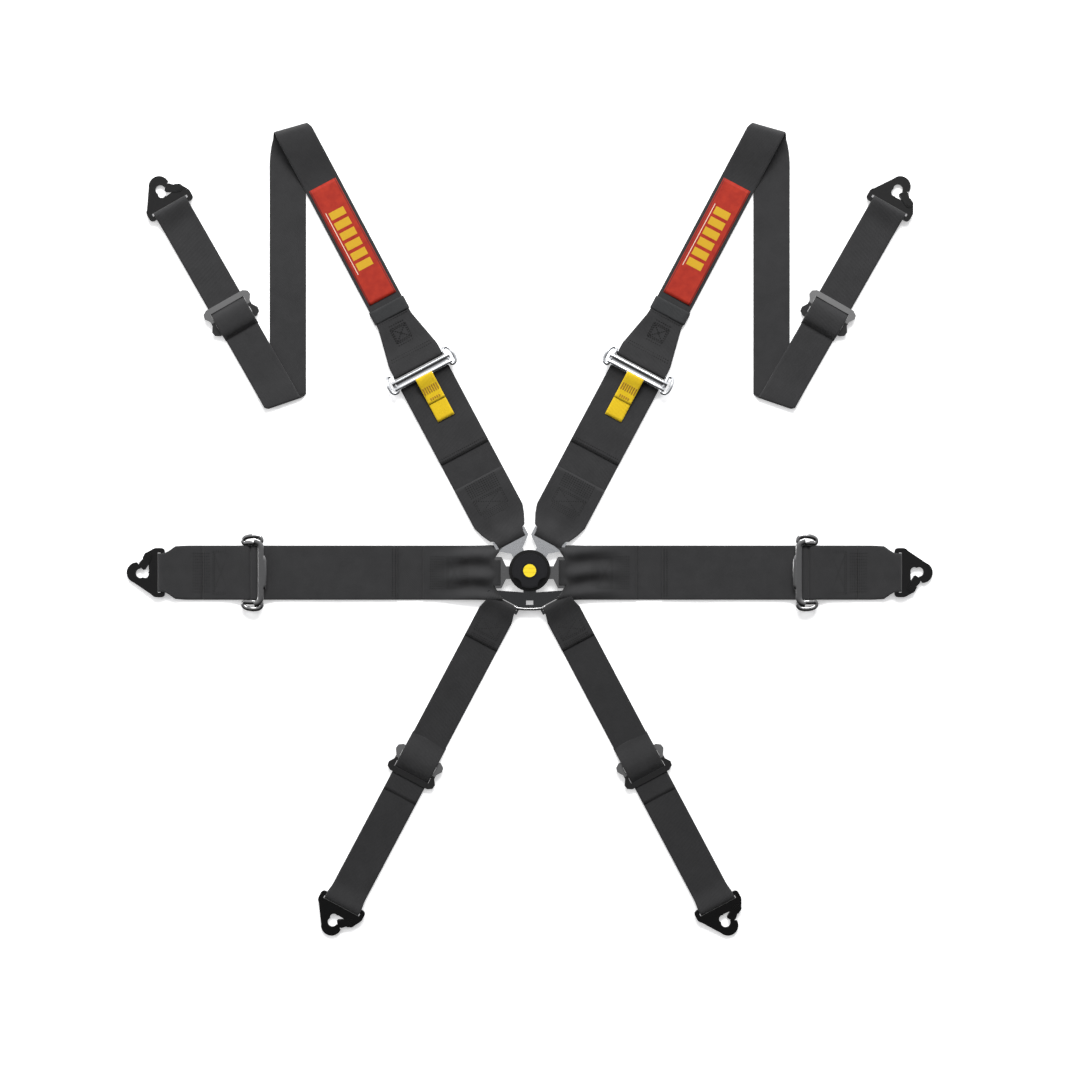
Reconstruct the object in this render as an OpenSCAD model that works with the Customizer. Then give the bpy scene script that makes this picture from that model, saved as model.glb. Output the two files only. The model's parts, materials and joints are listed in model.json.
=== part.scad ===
// Six-point racing harness with a turn-to-release buckle, laid out flat.
// Frame: +Z up, +Y towards the shoulder hooks, origin on the knob's axis at the buckle's back face.
// Each strap is drawn in its own frame: +X runs outward along the strap and +Y across it.

/* [Webbing] */
// Thickness of one layer of webbing
webbing_t = 1.4; // [1:0.1:1.7]
// Width of the lap belts and lower shoulder straps
wide_w = 76; // [60:1:84]
// Width of the upper shoulder straps and crotch straps
narrow_w = 51; // [42:1:54]

/* [Buckle] */
// Outer radius of the buckle's housing
housing_r = 29; // [28:0.5:34]
// Height of the housing's top face
housing_h = 18; // [17:0.5:22]
// Wall of the housing
housing_wall = 2; // [1.5:0.1:3]
// Thickness of the back plate
base_t = 2.5; // [2:0.1:2.8]
// Radius of the release knob
knob_r = 24.5; // [20:0.5:28]
// Height of the release knob
knob_h = 10; // [8:0.5:12]
// Radius of the centre post
post_r = 3.5; // [3:0.1:4]
// How far the latch pins drop into the tongues
latch_travel = 2.6; // [2:0.1:2.8]
// Radius of a latch pin
pin_r = 2.5; // [2:0.1:3]

/* [Tongues] */
// Thickness of a tongue
tongue_t = 2.6; // [2.2:0.1:2.8]
// Height of the tongues' middle plane
tongue_z = 7; // [6.8:0.1:7.2]
// Half width of a tongue where it enters the housing
neck_half = 9; // [8:0.5:9]
// Width of the bar that a webbing loop holds
loop_bar_w = 5; // [4:0.1:5.4]

/* [Adjusters] */
// Overall width across an adjuster
adjuster_w = 103; // [96:1:124]
// Radius of the lock bar and of the fixed bar
bar_r = 2.8; // [2.3:0.1:3.2]
// Distance between the lock bar and the fixed bar
bar_pitch = 14; // [13:0.5:17]
// Travel of the lock bar in its slots
lock_travel = 2.5; // [2:0.1:2.8]
// Thickness of the adjuster's plate
plate_t = 2.5; // [2:0.1:3]

/* [Sliders] */
// Width across a three-bar slider
slider_w = 73; // [66:1:88]
// Length of a three-bar slider along the strap
slider_l = 41; // [34:1:50]

/* [Snap hooks] */
// Thickness of a hook's plate
hook_t = 3.6; // [3:0.1:4]
// Radius of the seat for the eye bolt's ring
seat_r = 6.5; // [5.5:0.1:7]

/* [Hidden] */
$fn = 48;
// Clearances between pieces that move past each other
gap = 0.3;
fit = 0.05;
reach = 900;

// Places of the strap frames, on the right-hand side
shoulder_at = [28.8, 48, 62];
lap_at = [50, -3, 0];
crotch_at = [40, -48, -62.1];
hook_leg_at = [500.5, 505.7, 60.3];
// Distances along the shoulder strap
shoulder_lock_x = 258;
stitched_x = 92;
tail_x = 132;
flare_tuck_x = 303;
flare_end_x = 352;
keeper_x = 348;
keeper_l = 19;
patch_x = 376;
patch_l = 181;
patch_w = 42;
// Distances along the lap belt
lap_lock_x = 333;
lap_tail_x = 135;
lap_hook_x = 463;
lap_sewn_x = 100;
// Distances along the crotch strap
crotch_hook_x = 471;
crotch_sewn_x = 60;
crotch_slider_x = 256;
crotch_return_x = 210;
// Distances along the shoulder strap's hook leg, back from the hook
leg_slider_x = -168;
leg_return_x = -215;
// Vertical run of the shoulder strap and the two fold lines, as point and slope in degrees
run_x = 338.5;
top_fold = [330, 611, -16];
bottom_fold = [345, 236, -19];
fold_strip = 3;

// Webbing loops
loop_bar_half = norm([loop_bar_w / 2, tongue_t / 2]);
loop_in = loop_bar_half + gap;
loop_out = loop_in + webbing_t;
bar_loop_in = bar_r + gap;
bar_loop_out = bar_loop_in + webbing_t;
hook_bar_w = 6;
hook_loop_in = norm([hook_bar_w, hook_t]) / 2 + gap;
hook_loop_out = hook_loop_in + webbing_t;
// Heights of the bars that lie in a loop on the ground
adjuster_z = bar_loop_out;
hook_z = hook_loop_out;
// The keeper band passes under the upper strap, which is raised by it
keeper_t = 1.2;
raised_z = keeper_t + gap;
patch_t = 0.8;

// Buckle
cavity_r = housing_r - housing_wall - 1;
pin_ring_r = 17;
latch_plate_t = 2;
pin_rest_z = tongue_z + tongue_t / 2 + gap;
latch_z = pin_rest_z + latch_travel;
knob_z = housing_h + 0.4;
cap_r = 11.6;
sleeve_r = post_r + 2.2;
cam_lobe_r = 9.6;
screw_ring_r = housing_r - housing_wall - 2.6;
screw_angles = [23.4, 156.6, 229, 311];
screw_r = 1.6;
screw_l = 9;
boss_wall = 1.4;
emblem_r = 9;
// Tongue outlines
loop_slot_l = loop_out - loop_bar_w / 2 + 4;
tongue_rail = 4;
shoulder_slot_half = 21;
lap_slot_half = 18;
crotch_slot_half = 22.5;
crotch_rail = 3;
web_step = 0.2;
strap_end_gap = 0.6;
// Tongue pin holes: distance back from the strap's bar to the ring of pins
shoulder_pin_x = -39;
lap_pin_x = -33;
pin_hole_r = pin_r + 0.4;

// Adjusters: ears, pull tab and the bead it hangs on
ear_t = 3;
plate_low_z = adjuster_z + bar_loop_out + 1.1;
tab_bead_r = 1.6;
tab_w = 26;
tab_t = 0.9;
tab_l = 65;
tab_in = tab_bead_r + gap;
tab_z = plate_low_z + plate_t / 2;
tab_slot_l = 3;

// Three-bar sliders
slider_t = 2.2;
slider_low_z = 2 * webbing_t + gap;
slider_ridge = 3.4;
slider_bar_half = 4;
slider_end_bar = 8;

// Snap hook, along and across the strap from the middle of its webbing bar
tip_r = 14.5;
tip_x = 36.3;
seat_at = [31.5, -1];
lobe_at = [25, -2];
rivet_at = [20.7, 22.7];
rivet_r = 2.2;
hook_half_w = 34.5;
hook_slot_w = 4.2;
hook_slot_half = 28;
beak_start = -38;
beak_end = -18;
beak_r = 17.5;
gate_side = -57;
void_start = -94;
void_r = 21.5;
gate_in_r = 8.3;
cheek_t = 1;
cheek_gap = 0.2;
hook_tilt = atan((hook_z - hook_t / 2) / (tip_x + tip_r));

SIDES = ["left", "right"];
SHOULDER_PIECES = ["tongue", "lower_strap", "adjuster_frame", "lock_bar", "pull_tab", "flare",
    "upper_strap", "patch", "keeper_band", "slider", "hook", "gate"];
LAP_PIECES = ["tongue", "belt", "adjuster_frame", "lock_bar", "hook_strap", "hook", "gate"];
CROTCH_PIECES = ["strap", "slider", "hook", "gate"];
BUCKLE_PIECES = ["buckle_base", "buckle_housing", "housing_screws", "centre_post", "cam_rotor",
    "knob_return_spring", "latch_plate", "latch_pins", "latch_springs", "release_knob",
    "knob_cap", "knob_emblem", "crotch_plate"];

// ---- Placing ----

// Puts a shape that is drawn along a strap on one side of the buckle.
module at(side, place) {
    angle = side == "right" ? place[2] : 180 - place[2];
    x = side == "right" ? place[0] : -place[0];
    translate([x, place[1], 0]) rotate(angle) children();
}

// Puts a shape that is drawn for the right-hand side on either side, mirrored.
module handed(side) {
    if (side == "right") children();
    else mirror([1, 0, 0]) children();
}

// Turns a profile of length and height into a solid that wide.
module across(width) {
    rotate([90, 0, 0]) linear_extrude(width, center = true) children();
}

module plate(z, t) {
    translate([0, 0, z]) linear_extrude(t) children();
}

// ---- Webbing ----

// One layer of webbing along a path of [length, height] points on its lower face.
module layer(path, t = webbing_t) {
    top = [for (i = [len(path) - 1:-1:0]) path[i] + [0, t]];
    polygon(concat(path, top));
}

// A webbing loop around a bar, seen from the side.
module loop(x, z, inner, outer) {
    translate([x, z]) difference() {
        circle(outer);
        circle(inner);
    }
}

// The two layers that leave a loop: run is positive when they leave towards +X.
module loop_layers(x, z, inner, outer, run, rest_z = 0) {
    slope = run > 0 ? 24 : -24;
    low = [[x, z - outer], [x + slope, rest_z], [x + run, rest_z]];
    high = [[x, z + inner], [x + slope, rest_z + webbing_t], [x + run, rest_z + webbing_t]];
    layer(run > 0 ? low : [low[2], low[1], low[0]]);
    layer(run > 0 ? high : [high[2], high[1], high[0]]);
}

// Clears the bar out of layers that would cross it.
module sewn_loop(x, z, inner, outer, run, rest_z = 0) {
    loop(x, z, inner, outer);
    difference() {
        loop_layers(x, z, inner, outer, run, rest_z);
        translate([x, z]) circle(inner);
    }
}

// Outline of a strap that is gathered at one or both ends.
module gathered(x0, x1, width, half0, half1, taper) {
    w = width / 2;
    polygon([[x0, half0], [x0 + taper * 0.2, half0], [x0 + taper, w], [x1 - taper, w],
        [x1 - taper * 0.2, half1], [x1, half1], [x1, -half1], [x1 - taper * 0.2, -half1],
        [x1 - taper, -w], [x0 + taper, -w], [x0 + taper * 0.2, -half0], [x0, -half0]]);
}

module shoulder_lower_strap() {
    end = shoulder_slot_half - strap_end_gap;
    x1 = shoulder_lock_x;
    intersection() {
        across(wide_w + 2) union() {
            sewn_loop(0, tongue_z, loop_in, loop_out, stitched_x);
            sewn_loop(x1, adjuster_z, bar_loop_in, bar_loop_out, tail_x - x1);
            layer([[stitched_x - 1, 0], [tail_x + 1, 0]]);
        }
        plate(-1, 30) gathered(-loop_out, x1 + bar_loop_out, wide_w, end, wide_w / 2, 36);
    }
}

module lap_belt() {
    end = lap_slot_half - strap_end_gap;
    x1 = lap_lock_x;
    intersection() {
        across(wide_w + 2) union() {
            sewn_loop(0, tongue_z, loop_in, loop_out, lap_sewn_x);
            sewn_loop(x1, adjuster_z, bar_loop_in, bar_loop_out, lap_tail_x - x1);
            layer([[lap_sewn_x - 1, 0], [lap_tail_x + 1, 0]]);
        }
        plate(-1, 30) gathered(-loop_out, x1 + bar_loop_out, wide_w, end, wide_w / 2, 44);
    }
}

module lap_hook_strap() {
    x0 = lap_lock_x + bar_pitch;
    half_way = (lap_hook_x - x0) / 2;
    intersection() {
        across(wide_w + 2) union() {
            sewn_loop(x0, adjuster_z, bar_loop_in, bar_loop_out, half_way);
            sewn_loop(lap_hook_x, hook_z, hook_loop_in, hook_loop_out, -half_way);
        }
        plate(-1, 30) gathered(x0 - bar_loop_out, lap_hook_x + hook_loop_out, wide_w,
            wide_w / 2, narrow_w / 2, 20);
    }
}

module crotch_strap() {
    end = crotch_slot_half - strap_end_gap;
    x1 = crotch_hook_x;
    intersection() {
        across(narrow_w) union() {
            sewn_loop(0, tongue_z, loop_in, loop_out, crotch_sewn_x);
            sewn_loop(x1, hook_z, hook_loop_in, hook_loop_out, crotch_return_x - x1);
            layer([[crotch_sewn_x - 1, 0], [crotch_return_x + 1, 0]]);
        }
        plate(-1, 30) gathered(-loop_out, x1 + hook_loop_out, narrow_w, end, narrow_w / 2, 16);
    }
}

// The short wide webbing that is sewn to the adjuster and narrows to the upper strap.
module flare() {
    x0 = shoulder_lock_x + bar_pitch;
    w = wide_w / 2;
    n = narrow_w / 2;
    top = raised_z + webbing_t;
    intersection() {
        across(wide_w + 2) difference() {
            union() {
                loop(x0, adjuster_z, bar_loop_in, bar_loop_out);
                layer([[x0, adjuster_z - bar_loop_out], [flare_tuck_x - gap, 0]]);
                layer([[x0, adjuster_z + bar_loop_in], [flare_tuck_x, top], [flare_end_x, top]]);
                translate([flare_tuck_x - 3, 0]) square([3 - gap, top]);
            }
            translate([x0, adjuster_z]) circle(bar_loop_in);
        }
        plate(-1, 30) polygon([[x0 - bar_loop_out, w], [x0 + 14, w], [flare_end_x - 10, n],
            [flare_end_x, n], [flare_end_x, -n], [flare_end_x - 10, -n], [x0 + 14, -w],
            [x0 - bar_loop_out, -w]]);
    }
}

// Everything on the buckle's side of a fold line.
module below_fold(fold) {
    translate([fold[0], fold[1]]) rotate(fold[2]) translate([-reach, -reach])
        square([2 * reach, reach]);
}

module above_fold(fold) {
    translate([fold[0], fold[1]]) rotate(fold[2]) translate([-reach, 0])
        square([2 * reach, reach]);
}

// A narrow strip on the inner side of a fold line, where two runs of webbing join.
module fold_strip(fold, inward) {
    y = inward > 0 ? 0 : -fold_strip;
    translate([fold[0], fold[1]]) rotate(fold[2]) translate([-reach, y])
        square([2 * reach, fold_strip]);
}

module shoulder_run() {
    translate([run_x - narrow_w / 2, 0]) square([narrow_w, reach]);
}

module shoulder_slant() {
    at("right", shoulder_at) translate([flare_tuck_x, -narrow_w / 2]) square([reach, narrow_w]);
}

module shoulder_hook_leg() {
    at("right", hook_leg_at) translate([-reach / 2, -narrow_w / 2])
        square([reach / 2 + leg_return_x / 2, narrow_w]);
}

// One length of webbing: up from the flare, folded down over the top, folded up again to the hook.
module shoulder_upper_strap() {
    high = raised_z;
    plate(high, webbing_t) intersection() {
        shoulder_slant();
        below_fold(top_fold);
    }
    plate(0, webbing_t) intersection() {
        shoulder_run();
        below_fold(top_fold);
        above_fold(bottom_fold);
    }
    plate(webbing_t / 2, high) intersection() {
        shoulder_run();
        shoulder_slant();
        fold_strip(top_fold, -1);
    }
    plate(webbing_t / 2, high) intersection() {
        shoulder_run();
        shoulder_hook_leg();
        fold_strip(bottom_fold, 1);
    }
    intersection() {
        at("right", hook_leg_at) across(narrow_w) union() {
            sewn_loop(0, hook_z, hook_loop_in, hook_loop_out, leg_return_x);
            layer([[-400, high], [leg_return_x - 24, high], [leg_return_x + 1, 0]]);
        }
        plate(-1, 30) above_fold(bottom_fold);
    }
}

module patch() {
    at("right", shoulder_at) translate([patch_x, -patch_w / 2, raised_z + webbing_t])
        cube([patch_l, patch_w, patch_t]);
}

// Elastic band around the strap, high enough to slide over the sewn patch and the flare.
module keeper_band() {
    inner_h = 2 * webbing_t + 2 * gap;
    translate([keeper_x, 0, 0]) difference() {
        translate([0, -narrow_w / 2 - 2 * keeper_t, 0])
            cube([keeper_l, narrow_w + 4 * keeper_t, inner_h + 2 * keeper_t]);
        translate([-1, -narrow_w / 2 - gap, keeper_t])
            cube([keeper_l + 2, narrow_w + 2 * gap, inner_h]);
    }
}

// ---- Tongues and crotch plate ----

// Steel tongue: nose with a pin hole, neck, and a slotted end for the webbing loop.
module tongue(pin_x, slot_half) {
    half = slot_half + tongue_rail;
    bar = loop_bar_w / 2;
    slot = bar + loop_slot_l;
    neck_x = pin_x + 14;
    plate(tongue_z - tongue_t / 2, tongue_t) difference() {
        union() {
            polygon([[bar, half], [-slot - 2, half], [neck_x + 2, neck_half],
                [pin_x + 5, neck_half], [pin_x + 5, -neck_half], [neck_x + 2, -neck_half],
                [-slot - 2, -half], [bar, -half]]);
            translate([pin_x, -6]) square([6, 12]);
            translate([pin_x, 0]) circle(6);
        }
        translate([-slot, -slot_half]) square([loop_slot_l, 2 * slot_half]);
        translate([pin_x, 0]) circle(pin_hole_r);
    }
}

// One plate that takes both crotch straps; its two slotted legs are a little thinner than its web.
module crotch_plate() {
    bar = loop_bar_w / 2;
    slot = bar + loop_slot_l;
    half = crotch_slot_half + crotch_rail;
    clear_r = housing_r + 2;
    low = tongue_z - tongue_t / 2;
    leg_low = low + web_step;
    leg_t = tongue_t - 2 * web_step;
    difference() {
        union() {
            plate(low, tongue_t) union() {
                polygon([[-5, -pin_ring_r], [5, -pin_ring_r], [5, -clear_r + 7],
                    [neck_half, -clear_r + 7], [neck_half, -clear_r + 0.5], [44, -clear_r + 3],
                    [50, -29], [19, -54], [-19, -54], [-50, -29], [-44, -clear_r + 3],
                    [-neck_half, -clear_r + 0.5], [-neck_half, -clear_r + 7], [-5, -clear_r + 7]]);
                translate([0, -pin_ring_r]) circle(6);
            }
            for (s = SIDES) at(s, crotch_at) translate([-slot - 2, -half, leg_low])
                cube([slot + 2 + bar, 2 * half, leg_t]);
        }
        for (s = SIDES) at(s, crotch_at) translate([-slot, -crotch_slot_half, low - 1])
            cube([loop_slot_l, 2 * crotch_slot_half, tongue_t + 2]);
        translate([0, -pin_ring_r, low - 1]) cylinder(h = tongue_t + 2, r = pin_hole_r);
        translate([-5, -48, low - 1]) cube([10, 6, tongue_t + 2]);
    }
}

// ---- Buckle ----

function pin_places() = [
    for (s = [1, -1]) [s * (shoulder_at[0] + shoulder_pin_x * cos(shoulder_at[2])),
        shoulder_at[1] + shoulder_pin_x * sin(shoulder_at[2])],
    for (s = [1, -1]) [s * (lap_at[0] + lap_pin_x), lap_at[1]],
    [0, -pin_ring_r]];

module buckle_base() {
    difference() {
        cylinder(h = base_t, r = housing_r);
        translate([0, 0, -1]) cylinder(h = base_t + 2, r = post_r + fit);
        for (a = screw_angles) rotate(a) translate([screw_ring_r, 0, -1])
            cylinder(h = base_t + 2, r = screw_r + fit);
    }
}

// The opening that a tongue's neck slides through.
module neck_slot() {
    h = tongue_t + 2 * gap;
    translate([-60, -neck_half - gap, tongue_z - h / 2]) cube([60, 2 * (neck_half + gap), h]);
}

module buckle_housing() {
    top = housing_h - base_t;
    difference() {
        union() {
            translate([0, 0, base_t]) difference() {
                cylinder(h = top, r = housing_r);
                translate([0, 0, -1]) cylinder(h = top - housing_wall + 1, r = cavity_r);
            }
            for (a = screw_angles) rotate(a) translate([screw_ring_r, 0, base_t])
                cylinder(h = top - 1, r = screw_r + boss_wall);
        }
        for (a = screw_angles) rotate(a) translate([screw_ring_r, 0, base_t - 1])
            cylinder(h = screw_l, r = screw_r + fit);
        translate([0, 0, base_t]) cylinder(h = housing_h, r = sleeve_r + fit);
        for (s = SIDES) at(s, shoulder_at) neck_slot();
        for (s = SIDES) at(s, lap_at) neck_slot();
        rotate(-90) translate([60, 0, 0]) neck_slot();
    }
}

// Headless screws from the back, flush with the base so that the buckle lies flat.
module housing_screws() {
    for (a = screw_angles) rotate(a) translate([screw_ring_r, 0, 0]) cylinder(h = screw_l, r = screw_r);
}

module centre_post() {
    cylinder(h = knob_z + knob_h - 3, r = post_r);
}

// Sleeve turned by the knob, with two lobes that lift the latch plate's lugs.
module cam_rotor() {
    low = base_t + gap;
    difference() {
        union() {
            translate([0, 0, low]) cylinder(h = knob_z + 2 - low, r = sleeve_r);
            translate([0, 0, latch_z - 1.3]) intersection() {
                cylinder(h = 1, r = cam_lobe_r);
                translate([-cam_lobe_r, -3, 0]) cube([2 * cam_lobe_r, 6, 1]);
            }
        }
        translate([0, 0, low - 1]) cylinder(h = knob_z + knob_h, r = post_r + fit);
    }
}

module latch_plate() {
    hole_r = cam_lobe_r + gap;
    translate([0, 0, latch_z]) difference() {
        cylinder(h = latch_plate_t, r = pin_ring_r + pin_r + 1.2);
        difference() {
            translate([0, 0, -1]) cylinder(h = latch_plate_t + 2, r = hole_r);
            for (s = [1, -1]) translate([-1.5, s > 0 ? sleeve_r + 1 : -hole_r - 1, -2])
                cube([3, hole_r - sleeve_r, latch_plate_t + 4]);
        }
        for (p = pin_places()) translate([p[0], p[1], -1])
            cylinder(h = latch_plate_t + 2, r = pin_r);
        for (a = screw_angles) rotate(a) translate([screw_ring_r, 0, -1])
            cylinder(h = latch_plate_t + 2, r = screw_r + boss_wall + gap);
    }
}

module latch_pins() {
    for (p = pin_places()) translate([p[0], p[1], pin_rest_z])
        cylinder(h = latch_z + latch_plate_t - pin_rest_z, r = pin_r);
}

// Coil of round wire as one closed tube.
module coil(radius, wire, height, turns, steps = 14, sides = 6) {
    n = turns * steps;
    rings = [for (i = [0:n]) for (k = [0:sides - 1])
        let (a = i * 360 / steps, b = k * 360 / sides, r = radius + wire * cos(b))
        [r * cos(a), r * sin(a), wire + (height - 2 * wire) * i / n + wire * sin(b)]];
    walls = [for (i = [0:n - 1]) for (k = [0:sides - 1])
        let (m = (k + 1) % sides)
        [i * sides + k, i * sides + m, (i + 1) * sides + m, (i + 1) * sides + k]];
    start = [for (k = [sides - 1:-1:0]) k];
    finish = [for (k = [0:sides - 1]) n * sides + k];
    polyhedron(points = rings, faces = concat([start], walls, [finish]), convexity = 6);
}

module latch_springs() {
    low = latch_z + latch_plate_t + 0.05;
    room = housing_h - housing_wall - low - 0.05;
    for (a = [0, 120, 240]) rotate(a + 90) translate([pin_ring_r - 4, 0, low])
        coil(1.6, 0.25, room, 3, 10, 5);
}

module knob_return_spring() {
    translate([0, 0, knob_z + 0.4]) coil(sleeve_r + 1.8, 0.45, 3.4, 3, 20, 6);
}

// Round knob with two finger scallops that leave a lobe at the bottom.
module knob_outline(r) {
    difference() {
        circle(r);
        for (s = [1, -1]) translate([s * (knob_r * 0.87), -knob_r * 0.81]) circle(knob_r * 0.41);
    }
}

module release_knob() {
    skirt = 5;
    floor_z = knob_z + 4.2;
    difference() {
        union() {
            plate(knob_z, knob_h - 2) knob_outline(knob_r);
            plate(knob_z, knob_h) knob_outline(knob_r - 2);
        }
        translate([0, 0, knob_z - 1]) cylinder(h = skirt, r = 13.5);
        translate([0, 0, knob_z - 1]) cylinder(h = knob_h - 1.5, r = post_r + fit);
        translate([0, 0, knob_z + knob_h - 2.5]) cylinder(h = 4, r = cap_r + fit);
        translate([0, 0, knob_z - 1]) cylinder(h = floor_z - knob_z, r = sleeve_r);
    }
    translate([0, 0, knob_z + 2]) difference() {
        cylinder(h = 3, r = sleeve_r);
        translate([0, 0, -1]) cylinder(h = 5, r = post_r + fit);
    }
}

module knob_cap() {
    low = knob_z + knob_h - 2.5;
    difference() {
        translate([0, 0, low]) cylinder(h = 3.5, r = cap_r);
        translate([0, 0, low + 2.9]) cylinder(h = 2, r = emblem_r + fit);
    }
}

// Plain badge: a disc cut by two parallel grooves.
module knob_emblem() {
    low = knob_z + knob_h + 0.4;
    difference() {
        translate([0, 0, low]) cylinder(h = 0.9, r = emblem_r);
        for (y = [-3, 3]) translate([-10, y - 0.5, low + 0.5]) cube([20, 1, 1]);
    }
}

// ---- Adjusters ----

// Side wall of the adjuster, seen from the side with the lock bar at zero.
module ear_outline(back) {
    top = plate_low_z + plate_t - 0.5;
    difference() {
        polygon([[-back, plate_low_z], [-back + 3, top], [bar_pitch - 4, top],
            [bar_pitch + bar_r + 3, adjuster_z + 4], [bar_pitch + bar_r + 4, adjuster_z],
            [bar_pitch + bar_r + 1, 1], [-bar_r - 3, 1], [-back, adjuster_z + 3]]);
        lock_slot();
    }
}

// Slot that the lock bar slides in; the frame moves outward over the bar.
module lock_slot() {
    r = bar_r + fit;
    translate([0, adjuster_z]) circle(r);
    translate([-lock_travel, adjuster_z]) circle(r);
    translate([-lock_travel, adjuster_z - r]) square([lock_travel, 2 * r]);
}

// Frame: a broad top plate, two ears and the fixed bar that a strap is sewn to.
module adjuster_frame(lock_x, plate_l, with_tab) {
    inner = wide_w / 2 + 2.5;
    outer = adjuster_w / 2;
    back = plate_l - 9;
    translate([lock_x, 0, 0]) {
        difference() {
            plate(plate_low_z, plate_t) difference() {
                union() {
                    translate([-back, -inner - 1]) square([plate_l, 2 * inner + 2]);
                    for (s = [1, -1]) polygon([[-back, s * inner], [-back - 4, s * (inner + 4)],
                        [-back - 2, s * (outer - 1)], [4, s * outer], [16, s * (outer - 2)],
                        [18, s * (inner + 3)], [9, s * inner]]);
                }
                if (with_tab) translate([-back - 1, -tab_w / 2 - 1])
                    square([tab_bead_r + tab_slot_l + 1, tab_w + 2]);
            }
            for (s = [1, -1]) translate([8, s * (inner + 8), 0]) cylinder(h = 40, r = 2.6);
        }
        for (s = [1, -1]) translate([0, s * (inner + ear_t / 2), 0])
            across(ear_t) ear_outline(back);
        translate([bar_pitch, inner + 1, adjuster_z]) rotate([90, 0, 0])
            cylinder(h = 2 * inner + 2, r = bar_r);
        if (with_tab) translate([-back, tab_w / 2 + 2, tab_z]) rotate([90, 0, 0])
            cylinder(h = tab_w + 4, r = tab_bead_r);
    }
}
module lock_bar(lock_x) {
    length = wide_w + 5 + 2 * ear_t + 2;
    translate([lock_x, length / 2, adjuster_z]) rotate([90, 0, 0]) cylinder(h = length, r = bar_r);
}

module pull_tab(lock_x, plate_l) {
    x = lock_x - plate_l + 9;
    low = 2 * webbing_t + gap + 0.4;
    across(tab_w) difference() {
        union() {
            translate([x, tab_z]) circle(tab_in + tab_t);
            polygon([[x - tab_l, low], [x, tab_z - tab_in - tab_t], [x, tab_z - tab_in + 0.6],
                [x - 14, tab_z - tab_in + 0.2], [x - tab_l, low + 1.2]]);
        }
        translate([x, tab_z]) circle(tab_in);
    }
}

// ---- Sliders ----

// Roof-shaped plate with three bars; the webbing passes through its two slots.
module slider() {
    l = slider_l / 2;
    w = slider_w / 2;
    window = narrow_w / 2 + 1.2;
    slot = l - slider_end_bar - slider_bar_half;
    intersection() {
        across(slider_w + 2) polygon([[-l, slider_low_z], [0, slider_low_z + slider_ridge],
            [l, slider_low_z], [l, slider_low_z + slider_t],
            [0, slider_low_z + slider_ridge + slider_t], [-l, slider_low_z + slider_t]]);
        plate(-1, 30) difference() {
            polygon([[-l, w - 7], [-l + 4, w - 1], [-l + 10, w], [-3, w - 5], [3, w - 5],
                [l - 10, w], [l - 4, w - 1], [l, w - 7], [l, -w + 7], [l - 4, -w + 1],
                [l - 10, -w], [3, -w + 5], [-3, -w + 5], [-l + 10, -w], [-l + 4, -w + 1],
                [-l, -w + 7]]);
            for (s = [1, -1]) translate([s > 0 ? slider_bar_half : -slider_bar_half - slot,
                -window]) square([slot, 2 * window]);
        }
    }
}

// ---- Snap hooks ----

// Points of an arc about the origin.
function arc(r, a0, a1, steps = 8) =
    [for (i = [0:steps]) let (a = a0 + (a1 - a0) * i / steps) r * [cos(a), sin(a)]];

// The space that the gate swings through and the mouth that it closes.
module mouth_void() {
    translate(rivet_at) polygon(concat(arc(void_r, void_start, gate_side),
        arc(beak_r, gate_side, beak_end), arc(void_r * 2, beak_end, 2), arc(8, 2, void_start)));
}

module hook_outline() {
    w = hook_half_w;
    difference() {
        union() {
            translate([tip_x, 0]) circle(tip_r);
            polygon([[-3, w - 5], [-2.4, w - 2.5], [-0.6, w - 0.7], [2, w], [10, w], [13, w - 1],
                [22, 28.5], [26, 25], [33, 12.5], [tip_x + 7.7, -11.9], [15.5, -w + 3.6],
                [13.5, -w + 1.4], [10.5, -w + 0.2], [8, -w], [2, -w], [-0.6, -w + 0.7],
                [-2.4, -w + 2.5], [-3, -w + 5]]);
            translate(rivet_at) circle(6);
        }
        union() {
            translate(seat_at) circle(seat_r);
            translate(lobe_at) circle(5.5);
            mouth_void();
        }
        translate([hook_bar_w / 2, -hook_slot_half])
            square([hook_slot_w, 2 * hook_slot_half]);
    }
}

// Lays a flat hook on the ground: the webbing bar stays in its loop and the tip comes down.
module hook_pose(side_turned) {
    translate([0, 0, hook_z]) rotate([0, hook_tilt, 0]) mirror([0, side_turned ? 1 : 0, 0])
        children();
}

module hook() {
    head = hook_t / 2 + cheek_gap + cheek_t + 0.1;
    difference() {
        translate([0, 0, -hook_t / 2]) linear_extrude(hook_t) hook_outline();
        translate([rivet_at[0], rivet_at[1], -5]) cylinder(h = 10, r = rivet_r + fit);
    }
    translate([rivet_at[0], rivet_at[1], 0]) {
        cylinder(h = 2 * head, r = rivet_r, center = true);
        for (s = [1, -1]) translate([0, 0, s > 0 ? head : -head - 0.7])
            cylinder(h = 0.7, r = rivet_r + 1.3);
    }
}

module gate_cheek() {
    difference() {
        union() {
            translate(rivet_at) circle(5.4);
            polygon([[15.6, 24.5], [19, 28], [33, 14], [32, 9], [27.6, 3.4], [24.6, 4.6],
                [16.5, 18]]);
        }
        translate(rivet_at) circle(rivet_r + fit);
        translate(seat_at) circle(seat_r + gap);
    }
}

// Folded sheet gate: two cheeks and the block between them that closes the hook's mouth.
module gate() {
    low = hook_t / 2 + cheek_gap;
    for (s = [1, -1]) translate([0, 0, s > 0 ? low : -low - cheek_t])
        linear_extrude(cheek_t) gate_cheek();
    translate([rivet_at[0], rivet_at[1], -low]) linear_extrude(2 * low)
        polygon(concat(arc(beak_r - gap, gate_side - 5, beak_start - 1.2),
            arc(gate_in_r, beak_start - 1.2, gate_side - 5)));
}

// ---- Colours and nodes ----

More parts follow.
